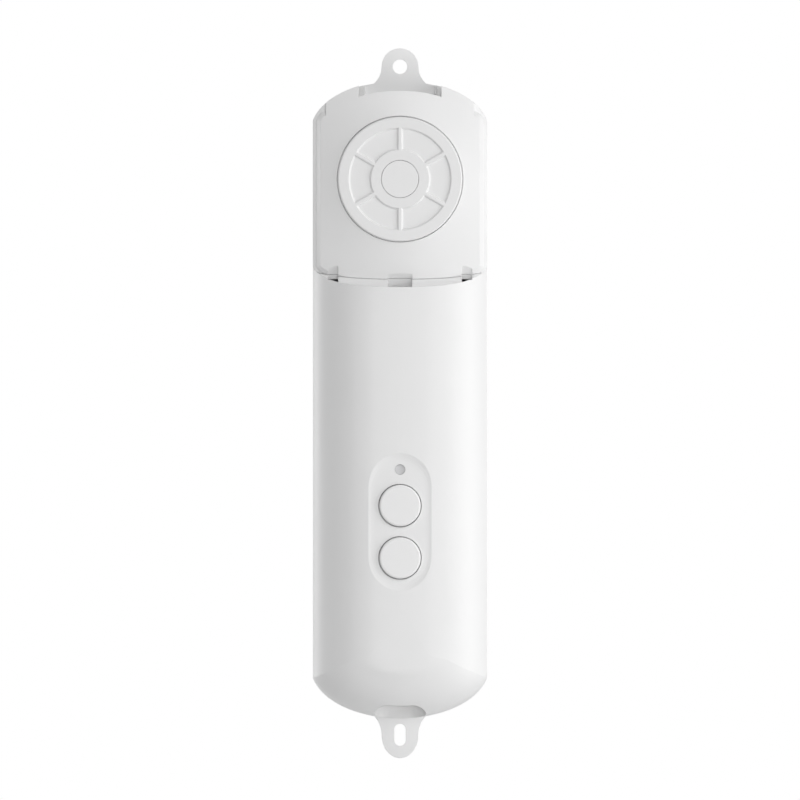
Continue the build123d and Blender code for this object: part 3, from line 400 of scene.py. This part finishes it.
def paired(name):
    """One vinyl skin to the left of the middle and the other to the right."""
    material, tree, shader, place = blank(name)
    shader.inputs["Roughness"].default_value = vinyl_roughness
    side = add(tree, "ShaderNodeSeparateXYZ", None, {0: place}).outputs["X"]
    right = maths(tree, "GREATER_THAN", side, 0.0)
    tree.links.new(chosen(tree, right, lead_black, lead_red), shader.inputs["Base Color"])
    return material


vinyl = paired("lead_vinyl")
dress(vinyl, "motor_leads", "battery_leads")

# Floor
# Not part of the object: a pale disc well under it that fades out towards its edge, so that no edge shows.
# The camera sees it partly as plain white, so it stays pale under the dim sky and still keeps the shadow.
floor_height = -240 * mm
floor_radius = 700 * mm
floor_sides = 96
floor_fade_start = 250 * mm
floor_white = (0.9, 0.9, 0.9, 1)
floor_lift = 0.55
floor_mesh = bpy.data.meshes.new("floor")
shape = bmesh.new()
bmesh.ops.create_circle(shape, cap_ends=True, segments=floor_sides, radius=floor_radius)
for point in shape.verts:
    point.co.z = floor_height
shape.to_mesh(floor_mesh)
shape.free()
floor = bpy.data.objects.new("floor", floor_mesh)
bpy.context.scene.collection.objects.link(floor)
paint = bpy.data.materials.new("floor_paint")
paint.use_nodes = True
tree = paint.node_tree
place = add(tree, "ShaderNodeTexCoord").outputs["Object"]
flat = add(tree, "ShaderNodeMapping", None, {"Vector": place, "Scale": (1, 1, 0)})
away = add(tree, "ShaderNodeVectorMath", {"operation": "LENGTH"}, {0: flat.outputs[0]})
fade = add(
    tree, "ShaderNodeMapRange", {"interpolation_type": "SMOOTHSTEP"},
    {"Value": away.outputs["Value"], "From Min": floor_fade_start, "From Max": floor_radius},
)
matt = add(tree, "ShaderNodeBsdfDiffuse", None, {"Color": floor_white})
pale = add(tree, "ShaderNodeEmission", None, {"Color": floor_white, "Strength": 1.0})
clear = add(tree, "ShaderNodeBsdfTransparent")
floor_rays = add(tree, "ShaderNodeLightPath")
share = maths(tree, "MULTIPLY", floor_rays.outputs["Is Camera Ray"], floor_lift)
lifted = add(tree, "ShaderNodeMixShader", None, {"Fac": share, 1: matt.outputs[0], 2: pale.outputs[0]})
mixed = add(
    tree, "ShaderNodeMixShader", None,
    {"Fac": fade.outputs["Result"], 1: lifted.outputs[0], 2: clear.outputs[0]},
)
tree.links.new(mixed.outputs[0], tree.nodes["Material Output"].inputs["Surface"])
floor_mesh.materials.append(paint)

# Camera and lamps
# Not part of the object: a long lens square to the front, two soft lamps in front and above, a weak strip
# close by at the right, one broad lamp behind on each side, and a dim sky that looks white.
view_width = 202.3 * mm
view_height = -0.15 * mm
camera_distance = 8.0
body_middle = 18 * mm
sensor = 36
camera_data = bpy.data.cameras.new("camera")
camera_data.sensor_width = sensor
camera_data.lens = sensor * (camera_distance - body_middle) / view_width
camera = bpy.data.objects.new("camera", camera_data)
camera.location = (0, -camera_distance, view_height)
camera.rotation_euler = (math.radians(90), 0, 0)
bpy.context.scene.collection.objects.link(camera)
bpy.context.scene.camera = camera


def lamp(name, place, size, power):
    """A soft lamp that faces the object's middle and isn't seen itself."""
    data = bpy.data.lights.new(name, "AREA")
    data.shape = "RECTANGLE"
    data.size, data.size_y = size
    data.energy = power
    light = bpy.data.objects.new(name, data)
    light.location = place
    light.rotation_mode = "QUATERNION"
    light.rotation_quaternion = (-Vector(place)).to_track_quat("-Z", "Y")
    light.visible_camera = False
    bpy.context.scene.collection.objects.link(light)


lamp("front_lamp", place=(0.125, -0.9, -0.1), size=(0.3, 0.25), power=1.36)
lamp("top_lamp", place=(0.1, -0.7, 0.7), size=(0.4, 0.4), power=2.37)
lamp("side_strip", place=(0.225, -0.128, 0.0), size=(0.12, 0.4), power=0.4)
lamp("rim_lamp", place=(-0.606, 0.332, 0.05), size=(0.4, 0.5), power=1.9)
lamp("back_lamp", place=(0.5, 0.8, 0.3), size=(0.5, 0.5), power=1.3)

sky_light = 0.239
sky_white = (1, 1, 1, 1)
world = bpy.data.worlds.new("studio")
bpy.context.scene.world = world
world.use_nodes = True
tree = world.node_tree
sky_rays = add(tree, "ShaderNodeLightPath").outputs
direct = maths(tree, "MAXIMUM", sky_rays["Is Camera Ray"], sky_rays["Is Glossy Ray"])
seen = maths(tree, "MAXIMUM", direct, sky_rays["Is Transmission Ray"])
level = add(tree, "ShaderNodeMapRange", None, {"Value": seen, "To Min": sky_light, "To Max": 1.0})
backdrop = tree.nodes["Background"]
backdrop.inputs["Color"].default_value = sky_white
tree.links.new(level.outputs["Result"], backdrop.inputs["Strength"])

bpy.context.scene.view_settings.view_transform = "Standard"
